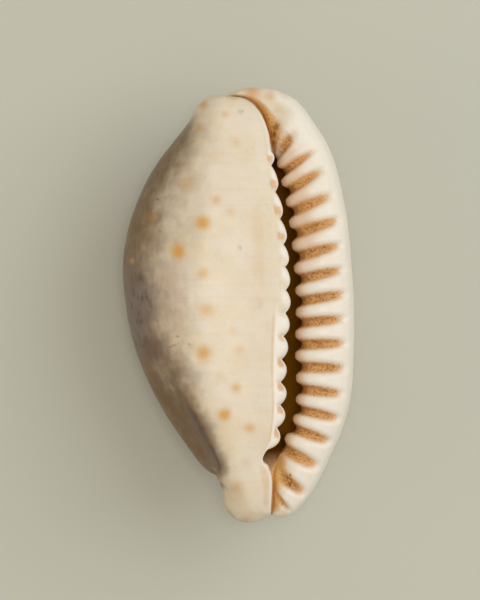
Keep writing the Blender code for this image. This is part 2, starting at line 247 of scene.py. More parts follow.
# Round marks on the shell, each with a place across, a place along, a radius and a strength: faint
# orange spots on the inner lip, brown patches, pinkish blush and violet clouds on the flank, thin
# washes of stain at the ends, dirt in the posterior canal, and small worn pits
SPOTS = {
    "orange": (
        (-1.2, 19.6, 0.5, 0.5), (-3.9, 18.3, 0.5, 0.5), (-3.5, 20.7, 0.6, 0.7), (-2.0, 15.2, 0.9, 0.3),
        (-0.1, 16.7, 0.7, 0.3), (-5.2, 12.4, 1.1, 0.4), (-2.2, 10.8, 0.65, 0.6), (-0.7, 9.6, 0.7, 0.4),
        (-3.5, 8.4, 0.8, 0.95), (-6.1, 5.5, 0.9, 0.95), (-3.5, 3.3, 0.75, 0.65), (-3.1, -0.5, 0.95, 0.65),
        (-0.5, -2.7, 0.7, 0.3), (-3.4, -4.9, 0.9, 0.9), (0.2, -4.6, 0.8, 0.4), (-1.8, -7.2, 0.6, 0.25),
        (-8.8, 9.0, 0.7, 0.4), (-0.1, -8.4, 0.65, 0.7), (-1.3, -11.2, 0.75, 1.0), (1.3, -12.6, 0.7, 0.65),
        (0.9, -16.1, 0.8, 0.3), (0.0, -18.6, 0.8, 0.45), (-10.9, 4.6, 0.4, 0.6), (-4.6, -8.6, 0.8, 0.3),
        (-2.4, -7.9, 0.6, 0.3),
    ),
    "brown": (
        (-8.8, 9.0, 1.2, 0.8), (-10.3, 2.9, 0.7, 0.7), (-7.3, 14.7, 0.9, 0.6), (-5.4, -8.3, 1.1, 1.0),
        (-4.9, -9.3, 0.9, 0.7), (-10.9, 6.9, 1.2, 0.3), (-7.4, -3.6, 1.2, 0.5), (-9.0, 13.0, 1.4, 0.4),
        (-9.0, -4.6, 1.7, 0.95), (-7.2, -6.4, 1.2, 0.6),
    ),
    "blush": ((-7.4, 2.2, 2.3, 0.9), (-6.4, -1.3, 1.9, 0.9), (-6.2, 0.9, 1.6, 0.8)),
    "violet": (
        (-9.9, 1.2, 1.2, 0.7), (0.5, 20.0, 0.5, 0.4), (0.3, 5.9, 0.3, 0.5), (-6.9, -8.1, 0.8, 0.8),
        (-5.5, -11.0, 0.7, 0.9), (-4.1, -12.9, 0.5, 0.8),
    ),
    "wash": (
        (1.6, 21.9, 0.9, 0.9), (-0.3, 21.6, 0.7, 0.6), (-2.0, -20.9, 0.9, 0.6), (0.8, -22.4, 0.8, 0.7),
        (3.4, 21.7, 0.8, 0.6), (5.0, 22.0, 0.8, 0.5), (4.2, 20.3, 0.8, 0.4),
        (-1.0, -22.0, 0.9, 0.7), (-2.6, -17.6, 0.8, 0.4),
    ),
    "stain": ((4.05, 18.4, 0.6, 1.0), (3.8, 17.8, 0.5, 1.0)),
    "deep": ((4.05, 18.4, 0.5, 0.9), (3.8, 17.7, 0.45, 1.0), (3.7, 16.8, 0.4, 0.9)),
    "pit": (
        (-6.5, -4.1, 0.2, 0.9), (-6.2, -3.2, 0.14, 0.7), (-5.0, -4.0, 0.14, 0.7), (-6.9, -4.3, 0.12, 0.7),
        (-7.9, 7.6, 0.13, 0.7), (-8.0, 6.7, 0.15, 0.7), (-4.2, -15.2, 0.16, 0.7), (-11.4, 6.7, 0.16, 0.8),
        (-8.2, 10.9, 0.18, 0.7), (5.5, -17.5, 0.13, 1.0), (0.5, 20.0, 0.12, 0.5),
    ),
}
PIT_DEPTH = 0.09

# Broad areas of wear and dirt, of painted shade on the flank, in the crease and beside it, and of
# painted light in the canals: mask, strength, and limits of rows and of the section's stretch. Those of
# the bent masks follow the ledge, and the edges of the cloudy masks wander by as much as their shifts,
# in rows and in places
BENT_MASKS = ("crease", "violet", "brown", "flank")
CLOUD_WIDTH = 2.4
CLOUD_SHIFTS = {"violet": (0.9, 0.14), "flank": (0.4, 0.03)}
AREAS = (
    ("stain", 0.8, (0.4, 0.9, 1.9, 2.8), (-8.0, -7.6, 0.5, 1.2)),
    # Canals: thin stain, painted brighter and yellower than it is as painted light, since the model's canals
    # lie deeper in shade
    ("canal", 1.0, (0.2, 0.6, 1.7, 2.4), (-8.0, -7.6, 0.5, 1.2)),
    ("canal", 1.0, (16.4, 17.2, 19.2, 19.8), (-8.0, -7.6, 0.35, 1.0)),
    ("stain", 0.55, (15.8, 16.6, 19.2, 19.8), (-8.0, -7.6, 0.2, 0.8)),
    ("pale", 0.9, (0.3, 1.0, 16.5, 19.5), (5.6, 5.85, 6.1, 6.35)),
    ("pale", 0.9, (15.9, 16.5, 19.3, 19.8), (5.66, 5.76, 6.1, 6.35)),
    ("pale", 1.0, (8.5, 10.5, 16.0, 17.0), (5.58, 5.64, 6.2, 6.4)),
    ("wash", 0.5, (8.5, 10.0, 15.0, 16.0), (5.54, 5.58, 5.59, 5.63)),
    ("wash", 0.4, END_GROOVE_ROWS, END_GROOVE_STRETCH),
    ("pale", 0.9, (0.5, 2.0, 18.0, 19.5), (1.1, 1.5, 2.6, 3.1)),
    ("wash", 0.9, (2.5, 3.0, 17.0, 18.0), (-0.6, -0.4, 0.1, 0.9)),
    ("wash", 0.6, (2.5, 3.0, 7.0, 10.0), (-0.6, -0.4, 0.7, 1.3)),
    ("orange", 0.22, (4.6, 6.4, 8.4, 10.4), (5.28, 5.37, 5.42, 5.52)),
    # Flank and back: browner enamel, made darker as painted shade where the flank turns away from the light
    # and along the knob's lower edge
    ("flank", 1.0, (0.8, 3.0, 17.6, 18.4), (2.3, 3.0, 4.2, 5.05)),
    ("flank", 1.0, (12.0, 14.0, 17.8, 18.4), (2.3, 3.0, 4.56, 4.95)),
    ("flank", 0.55, (3.0, 5.0, 6.6, 8.6), (2.9, 3.2, 4.45, 5.2)),
    ("flank", 0.9, (-1.0, -0.5, 20.5, 21.0), (2.3, 3.0, 3.4, 4.2)),
    ("flank", 0.5, (18.2, 19.2, 20.5, 21.0), (3.2, 3.8, 4.4, 4.9)),
    ("violet", 1.0, (7.5, 9.0, 11.3, 12.8), (3.85, 4.15, 4.4, 4.8)),
    ("violet", 0.35, (12.6, 14.0, 17.0, 17.8), (4.2, 4.45, 4.58, 4.66)),
    ("orange", 0.3, (6.6, 9.6, 10.4, 13.4), (3.3, 3.95, 4.02, 4.14)),
    # Painted shade where the base's edge turns down beside the crease and on the knob's left edge, over the
    # flank's own brown
    ("brown", 0.9, (10.3, 12.3, 16.4, 18.4), (4.42, 4.6, 4.7, 4.98)),
    ("brown", 0.35, (17.2, 18.2, 19.6, 20.0), (3.9, 4.3, 4.5, 4.9)),
    # Painted shade in the crease below the ledge, over the flank's own violet brown
    ("crease", 1.0, (13.2, 14.4, 16.6, 17.4), (4.5, 4.6, 4.68, 4.8)),
)

# Masks that the materials read, each with a value from 0 to 1 at every point
MASKS = (
    "flank", "blush", "violet", "crease", "brown", "orange", "pale", "wash", "stain", "canal", "deep",
    "pocket", "inside", "pit",
)

# Grains of the enamel: kind, size in millimetres, detail, and how it is squeezed along each axis. The
# dirt's grains are finer than this in life, and are drawn coarse enough to show
GRAINS = {
    "clouds": ("Noise", 5.0, 3.0, (1.0, 1.0, 1.0)),
    "mottle": ("Noise", 1.5, 5.0, (1.0, 1.0, 1.0)),
    "growth": ("Noise", 1.2, 3.0, (0.15, 2.6, 0.3)),
    "veins": ("Noise", 0.7, 6.0, (1.0, 0.6, 1.0)),
    "dirt": ("Noise", 0.3, 4.0, (1.0, 1.0, 1.0)),
    "grit": ("Voronoi", 0.2, 0.0, (1.0, 1.0, 1.0)),
}
GRIT_HEIGHT = 0.08

# Layers of colour from the bottom up: mask, colour, strength, grain, how far the grain frays the
# mask's edge, and the values of the mask at which the layer starts and is full. A layer whose mask
# is even has the same value everywhere, and covers the whole shell wherever its grain is high
EVEN_VALUE = 0.5
LAYERS = (
    ("even", "warm_cream", 0.8, "clouds", 1.0, 0.4, 0.65),
    ("even", "rubbed_white", 0.35, "mottle", 1.0, 0.5, 0.7),
    ("even", "warm_cream", 0.35, "growth", 1.0, 0.5, 0.65),
    # Browner flank and back, darker than the enamel alone as painted shade on the flank's side away from the
    # light
    ("flank", "flank_tan_and_painted_shade", 1.0, "mottle", 0.7, -0.1, 1.1),
    ("flank", "flank_brown_and_painted_shade", 0.5, "veins", 1.6, 0.5, 1.4),
    ("blush", "blush", 0.75, "veins", 1.0, 0.1, 1.0),
    ("violet", "violet_grey", 0.8, "veins", 1.2, 0.1, 1.1),
    ("violet", "dark_violet_and_painted_shade", 0.7, "veins", 2.6, 0.9, 1.5),
    # Brown patches, and painted shade beside the crease and on the knob's left edge
    ("brown", "patch_brown_and_painted_shade", 0.75, "mottle", 0.9, 0.1, 1.1),
    # Painted shade in the crease, in dark violet over the flank's own violet brown
    ("crease", "dark_violet_and_painted_shade", 0.8, "veins", 1.0, 0.3, 1.2),
    ("orange", "spot_orange", 0.9, "mottle", 0.25, 0.0, 1.0),
    ("pale", "rubbed_white", 0.85, "mottle", 0.3, 0.1, 0.9),
    ("wash", "stain", 0.62, "mottle", 0.5, 0.1, 0.9),
    ("pocket", "stain", 0.6, "dirt", 0.8, 0.1, 0.9),
    ("stain", "stain", 0.95, "dirt", 0.7, 0.0, 1.0),
    ("stain", "pale_grain", 0.5, "dirt", 1.6, 0.7, 1.2),
    # Painted light in the canals: a brighter yellow over the stain
    ("canal", "canal_stain_and_painted_light", 0.75, "dirt", 0.6, 0.1, 1.1),
    # Thick dirt near the slit, painted darker there as shade, and the painted shadow line along each groove
    ("deep", "deep_stain", 0.75, "dirt", 1.2, 0.1, 1.1),
    ("stain", "deep_stain", 0.4, "mottle", 2.0, 0.85, 1.5),
    ("stain", "deep_stain", 0.65, "grit", 1.4, 0.9, 1.4),
    ("inside", "interior", 1.0, "dirt", 0.2, 0.05, 0.5),
    ("pit", "deep_stain", 0.9, "dirt", 0.1, 0.15, 0.7),
)

# Photograph's frame: image size, and the size of a pixel on the shell
IMAGE_WIDTH = 480
IMAGE_HEIGHT = 600
PIXELS_PER_MILLIMETRE = 9.63
SHELL_CENTRE_PIXEL = (237.9, 304.8)


def linear(hex_colour):
    """Turn an sRGB hex colour into linear red, green and blue: a straight line near black, a power above."""
    channels = [int(hex_colour[i:i + 2], 16) / 255 for i in (1, 3, 5)]
    return tuple(c / 12.92 if c <= 0.04045 else ((c + 0.055) / 1.055) ** 2.4 for c in channels)


def smooth_curve(rows, start, stations, end):
    """Return the plan curve through the stations: cubic pieces with a parabola's slope at each."""
    points = np.array([(0.0, *start[:2]), *stations, (float(ROW_COUNT), *end[:2])])
    at, places = points[:, 0], points[:, 1:]
    steps = np.diff(at)[:, None]
    slopes = np.diff(places, axis=0) / steps
    middle = (slopes[:-1] * steps[1:] + slopes[1:] * steps[:-1]) / (steps[1:] + steps[:-1])
    tangents = np.vstack((2 * slopes[:1] - middle[:1], middle, 2 * slopes[-1:] - middle[-1:]))
    piece = np.clip(np.searchsorted(at, rows, side="right") - 1, 0, len(steps) - 1)
    step = steps[piece]
    t = (rows - at[piece])[:, None] / step
    from_start = places[piece] * (2 * t**3 - 3 * t**2 + 1) + tangents[piece] * step * (t**3 - 2 * t**2 + t)
    from_end = places[piece + 1] * (3 * t**2 - 2 * t**3) + tangents[piece + 1] * step * (t**3 - t**2)
    return from_start + from_end


def arch(rows, top_row, pointedness, fullness):
    """Return an arch over the length: one minus the distance from the top to a power, then rooted."""
    half = np.where(rows < top_row, top_row, ROW_COUNT - top_row)
    away = np.clip(np.abs(rows - top_row) / half, 0.0, 1.0)
    return (1.0 - away**pointedness) ** (1.0 / fullness)


def ramp(values, low, high):
    """Return a soft step from 0 at low to 1 at high, three times the square less twice the cube."""
    t = np.clip((values - low) / (high - low), 0.0, 1.0)
    return t * t * (3.0 - 2.0 * t)


def band(values, limits):
    """Return 1 between the two middle limits, falling softly to 0 at the outer ones."""
    return ramp(values, limits[0], limits[1]) * (1.0 - ramp(values, limits[2], limits[3]))


def blend(a, b, share):
    """Return the point that lies the given share of the way from a to b."""
    return a + (b - a) * share


def raised(rows, plan, rise):
    """Give a plan curve its height: the line between the poles plus the rail's arch."""
    line = blend(POSTERIOR_POLE[2], ANTERIOR_POLE[2], rows / ROW_COUNT)
    return np.column_stack((plan, line + rise[0] * arch(rows, *rise[1:])))


def canal_share(rows):
    """Return 1 in the canals at both ends of the slit and 0 between them."""
    return band(rows, POSTERIOR_CANAL_ROWS) + band(rows, ANTERIOR_CANAL_ROWS)


def outer_rails(rows):
    """Return the rails of the outside, from the outer lip's edge round to the inner lip's edge."""
    stations = (LIP_EDGE_PLAN, LIP_MARGIN_PLAN, BACK_PLAN, FLANK_PLAN, BASE_PLAN, INNER_LIP_EDGE_PLAN)
    plans = [smooth_curve(rows, POSTERIOR_POLE, item, ANTERIOR_POLE) for item in stations]
    plans.insert(LIP_CREST, blend(plans[0], plans[1], LIP_CREST_SHARE))
    rises = (
        RISE_LIP_EDGE, RISE_LIP_CREST, RISE_LIP_MARGIN, RISE_BACK, RISE_FLANK, RISE_BASE, RISE_INNER_LIP_EDGE,
    )
    rails = [raised(rows, plan, rise) for plan, rise in zip(plans, rises)]
    rails[LIP_EDGE][:, 2] -= CANAL_DIP * canal_share(rows)
    return rails


def beside(start, end, share, depth):
    """Return the rail a share of the way from start to end, at the depth below the start."""
    rail = blend(start, end, share)
    rail[:, 2] = start[:, 2] - depth
    return rail


def inner_rails(rows, rails):
    """Return the rails of the hollow, which closes to a shallow groove between the lips in both canals."""
    edge, margin, flank, inner_edge = (rails[i] for i in (LIP_EDGE, LIP_MARGIN, FLANK, INNER_LIP_EDGE))
    size = arch(rows, *GROOVE_ARCH)
    full = (
        beside(inner_edge, flank, WHORL_BOTTOM_SHARE, WHORL_BOTTOM_DEPTH * size),
        beside(inner_edge, flank, WHORL_SIDE_SHARE, WHORL_SIDE_DEPTH * size),
        beside(inner_edge, flank, HOLLOW_ROOF_SHARE, HOLLOW_ROOF_DEPTH * size),
        beside(flank, inner_edge, 1.0 - HOLLOW_LEFT_SHARE, 0.0),
        beside(rails[BACK], rails[BASE], 1.0 - HOLLOW_BACK_SHARE, -WALL * size),
        beside(edge, margin, HOLLOW_RIGHT_SHARE, (LIP_DEPTH + HOLLOW_RIGHT_DEPTH) * size),
        beside(edge, margin, LIP_ROOF_SHARE, LIP_DEPTH * size),
    )
    openness = band(rows, HOLLOW_ROWS)[:, None]
    floor_height = edge[:, 2] - GROOVE_DEPTH * size
    hollow = []
    for (across, down), rail in zip(GROOVE_PLACES, full):
        groove = blend(inner_edge, edge, across)
        groove[:, 2] = blend(groove[:, 2], floor_height, down)
        hollow.append(blend(groove, rail, openness))
    return hollow


def shell_points(rows, places):
    """Return the smooth shell on a grid of rows and places.

    Between two rails the plan and the height each follow a quarter of a superellipse: a cosine's
    power for the one that starts slowly, and a sine's power for the other.
    """
    outside = outer_rails(rows)
    rails = np.array(outside + inner_rails(rows, outside))
    turn = np.floor(places)
    quarter = (places - turn) * np.pi / 2
    first = turn.astype(int) % RAIL_COUNT
    beside_canal = canal_share(rows)[:, None] * (first == LIP_EDGE)
    power = 2.0 / blend(np.array(ARC_SQUARENESS)[first], CANAL_SQUARENESS, beside_canal)
    late = 1.0 - np.clip(np.cos(quarter), 0.0, 1.0) ** power
    early = np.clip(np.sin(quarter), 0.0, 1.0) ** power
    upright_first = first % 2 == 0
    plan_share = np.where(upright_first, late, early)[..., None]
    height_share = np.where(upright_first, early, late)[..., None]
    start = rails[first].transpose(1, 0, 2)
    end = rails[(first + 1) % RAIL_COUNT].transpose(1, 0, 2)
    plan = blend(start[..., :2], end[..., :2], plan_share)
    height = blend(start[..., 2:], end[..., 2:], height_share)
    return np.concatenate((plan, height), axis=2)


def shell_normals(rows, places):
    """Return the outward normals: the cross product of small steps along the rows and round the section."""
    along = shell_points(rows + NORMAL_STEP, places) - shell_points(rows - NORMAL_STEP, places)
    around = shell_points(rows, places + NORMAL_STEP) - shell_points(rows, places - NORMAL_STEP)
    normals = np.cross(along, around)
    return normals / np.linalg.norm(normals, axis=2, keepdims=True)


def lattice_noise(points, cell):
    """Return smooth noise from -1 to 1: scrambled heights at the corners of cubes, softly blended."""
    scaled = points / cell
    base = np.floor(scaled).astype(np.int64)
    t = scaled - base
    t = t * t * (3.0 - 2.0 * t)
    total = np.zeros(points.shape[:-1])
    for corner in itertools.product((0, 1), repeat=3):
        x, y, z = np.moveaxis(base + np.array(corner), -1, 0)
        mixed = (x * NOISE_FACTORS[0] + y * NOISE_FACTORS[1] + z * NOISE_FACTORS[2]) & NOISE_BITS
        mixed = ((mixed ^ (mixed >> NOISE_SHIFTS[0])) * NOISE_FACTORS[2]) & NOISE_BITS
        height = (mixed ^ (mixed >> NOISE_SHIFTS[1])) / (NOISE_BITS // 2) - 1.0
        total += height * np.prod(np.where(np.array(corner) == 1, t, 1.0 - t), axis=-1)
    return total


def from_edge(places):
    """Count places from the outer lip's edge, so that the slit's wall and the hollow are negative."""
    return np.where(places > HOLLOW_START, places - RAIL_COUNT, places)


def outer_teeth(rows, places):
    """Return the outer lip's ridges, first as a shape and then as a colour, each 1 on a crest and 0
    in a groove, and the area that they take.

    A ridge is a soft step of the cosine of the row, wide for its shape and narrow for its colour. Its
    threshold falls with a high power of the way along the groove, so that a groove keeps its width
    almost to its rounded end, which is a little further out or in than the next by a sine of its number.
    """
    near = from_edge(places)[None, :]
    change = GROOVE_REACH_CHANGE * np.sin(GROOVE_REACH_TURN * np.floor(rows))
    reach = np.interp(rows, *zip(*GROOVE_REACH)) + change
    along_groove = np.clip(near / reach[:, None], 0.0, GROOVE_END_LIMIT)
    level = np.cos(2 * np.pi * rows)[:, None] + GROOVE_END_RISE * along_groove**GROOVE_END_POWER
    area = band(rows, OUTER_TOOTH_ROWS)[:, None] * band(near, OUTER_TOOTH_STRETCH)
    area *= 1.0 - canal_share(rows)[:, None] * (1.0 - ramp(near, *CANAL_TOOTH_START))
    return ramp(level, *RIDGE_SHAPE_LEVELS), ramp(level, *RIDGE_COLOUR_LEVELS), area


def inner_teeth(rows, places):
    """Return the inner lip's teeth, 1 on a crest and 0 in a notch, their area, and their pockets.

    A tooth is a round lobe between sharp notches: a root of the sine of a phase that runs from notch
    to notch, slower on one side of the crest than on the other. A pocket is a bell curve of the rows
    beside the notch.
    """
    notch = blend(*NOTCH_PHASES, ramp(rows, *NOTCH_PHASE_ROWS))
    phase = (np.minimum(rows, LAST_NOTCH_ROW) - notch) % 1.0
    crest_phase = 1.0 - notch
    rising = 0.5 * phase / crest_phase
    falling = 0.5 + 0.5 * (phase - 1.0 + notch) / notch
    warped = np.where(phase < crest_phase, rising, falling)
    crest = (np.sin(np.pi * warped) ** LOBE_ROUNDNESS)[:, None]
    anterior = ramp(rows, *DEEP_NOTCH_ROWS)[:, None]
    stretch = blend(
        band(places, INNER_TOOTH_STRETCH_POSTERIOR), band(places, INNER_TOOTH_STRETCH_ANTERIOR), anterior,
    )
    lead = blend(*POCKET_LEADS, ramp(rows, *DEEP_NOTCH_ROWS))
    from_notch = (rows - notch + 0.5 + lead) % 1.0 - 0.5
    pockets = np.exp(-((from_notch / POCKET_HALF_LENGTH) ** 2))[:, None] * band(places, POCKET_STRETCH)
    toothed = band(rows, INNER_TOOTH_ROWS)[:, None]
    return crest, toothed * stretch, toothed * pockets


def spots(points, marks, on_top):
    """Return the strongest of the round marks at each point of the side with the aperture.

    Each mark is its strength times a bell curve of the distance from its middle, seen from above.
    """
    strongest = np.zeros(points.shape[:-1])
    for across, along, radius, strength in marks:
        distance = (points[..., 0] - across) ** 2 + (points[..., 1] - along) ** 2
        strongest = np.maximum(strongest, strength * np.exp(-distance / radius**2))
    return strongest * on_top


def fit_to_frame(points):
    """Stretch the shell to the CAD node's box, with the rest flat cut off below it."""
    flat = points.reshape(-1, 3)
    low, high = flat.min(axis=0), flat.max(axis=0)
    target_low = np.array(CAD_LOW) / MILLIMETRE
    target_high = np.array(CAD_HIGH) / MILLIMETRE
    target_low[2] -= REST_FLAT_DEPTH
    fitted = target_low + (points - low) * (target_high - target_low) / (high - low)
    fitted[..., 2] = np.maximum(fitted[..., 2], CAD_LOW[2] / MILLIMETRE)
    return fitted


def shell_surface(sizes, rows, places):
    """Return the shell's points in rings, and the masks that its materials read.

    The relief moves each point of the smooth shell along its normal: teeth up and down, the lip's
    band up, the ledge, the end groove, the pockets and the pits down, and slow waves either way.
    A mask is the greatest of its round marks and its areas, and an area is the product of two soft
    bands, one of the rows and one of the places.
    """
    smooth = shell_points(rows, places)
    outer_ridge, outer_crest, outer_area = outer_teeth(rows, places)
    inner_crest, inner_area, pockets = inner_teeth(rows, places)
    near = from_edge(places)[None, :]
    row_grid = rows[:, None]
    on_top = (band(near, LIP_TOP_STRETCH) + band(near, BASE_TOP_STRETCH)) * np.ones_like(row_grid)
    bend = LEDGE_BEND * ramp(row_grid, *LEDGE_BEND_ROWS)
    ledge = band(row_grid, LEDGE_ROWS) * band(near + bend, LEDGE_STRETCH)
    end_groove = band(row_grid, END_GROOVE_ROWS) * band(near, END_GROOVE_STRETCH)
    lip_band = band(row_grid, LIP_BAND_ROWS) * band(near, LIP_BAND_STRETCH)
    small_waves = lattice_noise(smooth, WAVE_WIDTH / SMALL_WAVE_FINENESS)
    waves = lattice_noise(smooth, WAVE_WIDTH) + SMALL_WAVE_SHARE * small_waves
    inside = band(near, INSIDE_STRETCH) * band(row_grid, HOLLOW_ROWS)
    masks = {name: spots(smooth, SPOTS.get(name, ()), on_top) for name in MASKS}
    cloud = lattice_noise(smooth, CLOUD_WIDTH)
    for name, strength, row_limits, place_limits in AREAS:
        row_shift, place_shift = CLOUD_SHIFTS.get(name, (0.0, 0.0))
        along = near + bend * (name in BENT_MASKS) + cloud * place_shift
        area = band(row_grid + cloud * row_shift, row_limits) * band(along, place_limits)
        masks[name] = np.maximum(masks[name], strength * area)
    grooves = (1.0 - outer_crest) * outer_area
    # Painted shadow: a dark line along the posterior side of each groove, where the ridge beside it shades it
    shade = band(rows % 1.0, SHADE_PHASES)[:, None] * band(row_grid, SHADE_ROWS)
    pocket_rows = np.maximum(band(row_grid, POCKET_ROWS_POSTERIOR), band(row_grid, POCKET_ROWS_ANTERIOR))
    masks["stain"] = np.maximum(masks["stain"], grooves)
    # The dark groove mask holds thick dirt near the slit, which is also painted shade, and the painted shadow
    # line
    thick = np.maximum(band(near, DEEP_STRETCH), SHADE_STRENGTH * shade)
    masks["deep"] = np.maximum(masks["deep"], grooves * thick)
    masks["pocket"] = pockets * pocket_rows
    ridges = RIDGE_PALENESS * outer_crest * outer_area
    masks["pale"] = np.maximum(masks["pale"] * (1.0 - POCKET_DULLING * pockets), ridges)
    masks["inside"] = inside

    deeper = DEEP_NOTCH_GAIN * ramp(row_grid, *DEEP_NOTCH_ROWS) * (1.0 - inner_crest)
    relief = (
        (2 * outer_ridge - 1) * outer_area * sizes.outer_tooth_height / MILLIMETRE
        + (2 * inner_crest - 1 - deeper) * inner_area * sizes.inner_tooth_height / MILLIMETRE
        - ledge * sizes.ledge_depth / MILLIMETRE
        - end_groove * END_GROOVE_DEPTH
        + lip_band * LIP_BAND_HEIGHT
        - pockets * POCKET_DEPTH
        - masks["pit"] * PIT_DEPTH
        + waves * WAVE_HEIGHT * band(near, OUTSIDE_STRETCH)
    )
    return smooth + shell_normals(rows, places) * relief[..., None], masks


def shell_mesh(name, sizes):
    """Close the rings with a point at each pole and put the surface and its masks into a mesh."""
    rows = np.arange(1, ROW_COUNT * STEPS_PER_TOOTH) / STEPS_PER_TOOTH
    places = np.concatenate([rail + np.arange(steps) / steps for rail, steps in enumerate(ARC_STEPS)])
    rings, masks = shell_surface(sizes, rows, places)
    ring_count, around = rings.shape[:2]
    poles = np.array((POSTERIOR_POLE, ANTERIOR_POLE))
    points = fit_to_frame(np.vstack((rings.reshape(-1, 3), poles))) * MILLIMETRE
    index = np.arange(ring_count * around).reshape(ring_count, around)
    following = np.roll(index, -1, axis=1)
    quads = np.stack((index[:-1], index[1:], following[1:], following[:-1]), axis=-1).reshape(-1, 4)
    start_pole = np.full(around, ring_count * around)
    start_fan = np.stack((start_pole, index[0], following[0]), axis=-1)
    end_fan = np.stack((start_pole + 1, following[-1], index[-1]), axis=-1)
    mesh = bpy.data.meshes.new(name)
    mesh.from_pydata(points.tolist(), [], quads.tolist() + start_fan.tolist() + end_fan.tolist())
    for mask_name, values in masks.items():
        attribute = mesh.attributes.new(mask_name, "FLOAT", "POINT")
        ends = (values[0].mean(), values[-1].mean())
        attribute.data.foreach_set("value", np.concatenate((values.reshape(-1), ends)).astype(np.float32))
    bare = np.zeros(len(mesh.polygons), dtype=np.int32)
    bare[:len(quads)] = (masks["inside"][:-1] > BARE_SHARE).reshape(-1)
    mesh.polygons.foreach_set("material_index", bare)
    mesh.shade_smooth()
    return mesh


def add_node(tree, kind, settings, inputs, output=0):
    """Add a node with its settings and inputs, link those that are sockets, and return one output."""
    node = tree.nodes.new(kind)
    for key, value in settings.items():
        setattr(node, key, value)
    for key, value in inputs.items():
        if isinstance(value, bpy.types.NodeSocket):
            tree.links.new(value, node.inputs[key])
        else:
            node.inputs[key].default_value = value
    return node.outputs[output] if node.outputs else None


def new_material(name):
    """Return an empty material and its node tree."""
    material = bpy.data.materials.new(name)
    material.use_nodes = True
    material.node_tree.nodes.clear()
    return material, material.node_tree


def enamel_material(colours):
    """Worn cowrie enamel: dense porcelain-like aragonite, laid down glossy and since rubbed dull.

    The eye sees a warm cream with soft broad highlights, pale rubbed ridges, granular brown dirt
    in the grooves, blurred orange spots under the glaze and a browner, violet-clouded flank. The
    colours also hold painted shade: a dark line along each groove, the grooves' ends near the slit,
    the flank's side away from the light, the crease and the edge beside it. The canals hold painted
    light, a brighter yellow than their stain. Each layer of colour is a soft step of its mask, frayed
    by a grain of the layer's own size.
    """
    material, tree = new_material("worn_cowrie_enamel")
    place = add_node(tree, "ShaderNodeTexCoord", {}, {}, "Object")
    grains = {}
    for name, (kind, size, detail, stretch) in GRAINS.items():
        stretched = add_node(tree, "ShaderNodeMapping", {}, {"Vector": place, "Scale": stretch})
        inputs = {"Vector": stretched, "Scale": 1.0 / (size * MILLIMETRE), "Detail": detail}
        grains[name] = add_node(tree, "ShaderNodeTex" + kind, {}, inputs)
    masks = {
        name: add_node(tree, "ShaderNodeAttribute", {"attribute_name": name}, {}, "Fac") for name in MASKS
    }
    colour = (*colours.cream, 1.0)
    for mask, paint, strength, grain, fray, low, high in LAYERS:
        value = masks.get(mask, EVEN_VALUE)
        frayed = add_node(
            tree, "ShaderNodeMath", {"operation": "MULTIPLY_ADD"}, {0: grains[grain], 1: fray, 2: value},
        )
        limits = {
            "Value": frayed,
            "From Min": low + fray / 2,
            "From Max": high + fray / 2,
            "To Max": strength,
        }
        share = add_node(tree, "ShaderNodeMapRange", {"interpolation_type": "SMOOTHSTEP"}, limits)
        over = (*getattr(colours, paint), 1.0)
        colour = add_node(tree, "ShaderNodeMix", {"data_type": "RGBA"}, {0: share, 6: colour, 7: over}, 2)

    dirty = add_node(tree, "ShaderNodeMapRange", {}, {"Value": masks["stain"], "To Min": 0.1, "To Max": 1.0})
    height = add_node(tree, "ShaderNodeMath", {"operation": "MULTIPLY"}, {0: dirty, 1: grains["grit"]})
    bump = add_node(
        tree, "ShaderNodeBump", {}, {"Strength": 0.5, "Distance": GRIT_HEIGHT * MILLIMETRE, "Height": height},
    )
    rough = add_node(tree, "ShaderNodeMapRange", {}, {"Value": masks["stain"], "To Min": 0.4, "To Max": 0.65})
    surface = add_node(tree, "ShaderNodeBsdfPrincipled", {}, {
        "Base Color": colour,
        "Roughness": rough,
        "Normal": bump,
        "IOR": 1.53,
        "Specular IOR Level": 0.4,
        "Coat Weight": 0.08,
        "Coat Roughness": 0.2,
        "Subsurface Weight": 0.1,
        "Subsurface Radius": (1.0, 0.7, 0.45),
        "Subsurface Scale": 0.8 * MILLIMETRE,
    })
    add_node(tree, "ShaderNodeOutputMaterial", {}, {"Surface": surface})
    return material


def bare_material(colours):
    """Bare aragonite inside the hollow, which no enamel covers: dull, rough and stained dark brown."""
    material, tree = new_material("stained_bare_aragonite")
    surface = add_node(tree, "ShaderNodeBsdfPrincipled", {}, {
        "Base Color": (*colours.interior, 1.0),
        "Roughness": 0.9,
        "Specular IOR Level": 0.05,
    })
    add_node(tree, "ShaderNodeOutputMaterial", {}, {"Surface": surface})
    return material


def floor_material(colour):
    """Pale matt card, an even uncoated paper surface that takes only the softest shadow."""
    material = bpy.data.materials.new("pale_matt_card")
    material.use_nodes = True
    surface = material.node_tree.nodes["Principled BSDF"]
    surface.inputs["Base Color"].default_value = (*colour, 1.0)
    surface.inputs["Roughness"].default_value = 0.9
    surface.inputs["Specular IOR Level"].default_value = 0.1
    return material


class CowrieShellSizes(bpy.types.PropertyGroup):
    """Sizes of the shell's relief."""

    outer_tooth_height: FloatProperty(
        name="Outer tooth height",
        description="How far the outer lip's ridges stand above its smooth surface",
        default=0.36 * MILLIMETRE,
        subtype="DISTANCE",
        unit="LENGTH",
    )
    inner_tooth_height: FloatProperty(
        name="Inner tooth height",
        description="How far the inner lip's teeth stand above its smooth edge",
        default=0.24 * MILLIMETRE,
        subtype="DISTANCE",
        unit="LENGTH",
    )
    ledge_depth: FloatProperty(
        name="Ledge depth",
        description="How far the flank steps in below the thick inner lip near the anterior end",
        default=0.75 * MILLIMETRE,
        subtype="DISTANCE",
        unit="LENGTH",
    )


def colour_property(name, description, hex_colour):
    """Return a colour property with its default given in sRGB hex."""
    return FloatVectorProperty(
        name=name,
        description=description,
        subtype="COLOR",
        size=3,
        min=0.0,
        max=1.0,
        default=linear(hex_colour),
    )


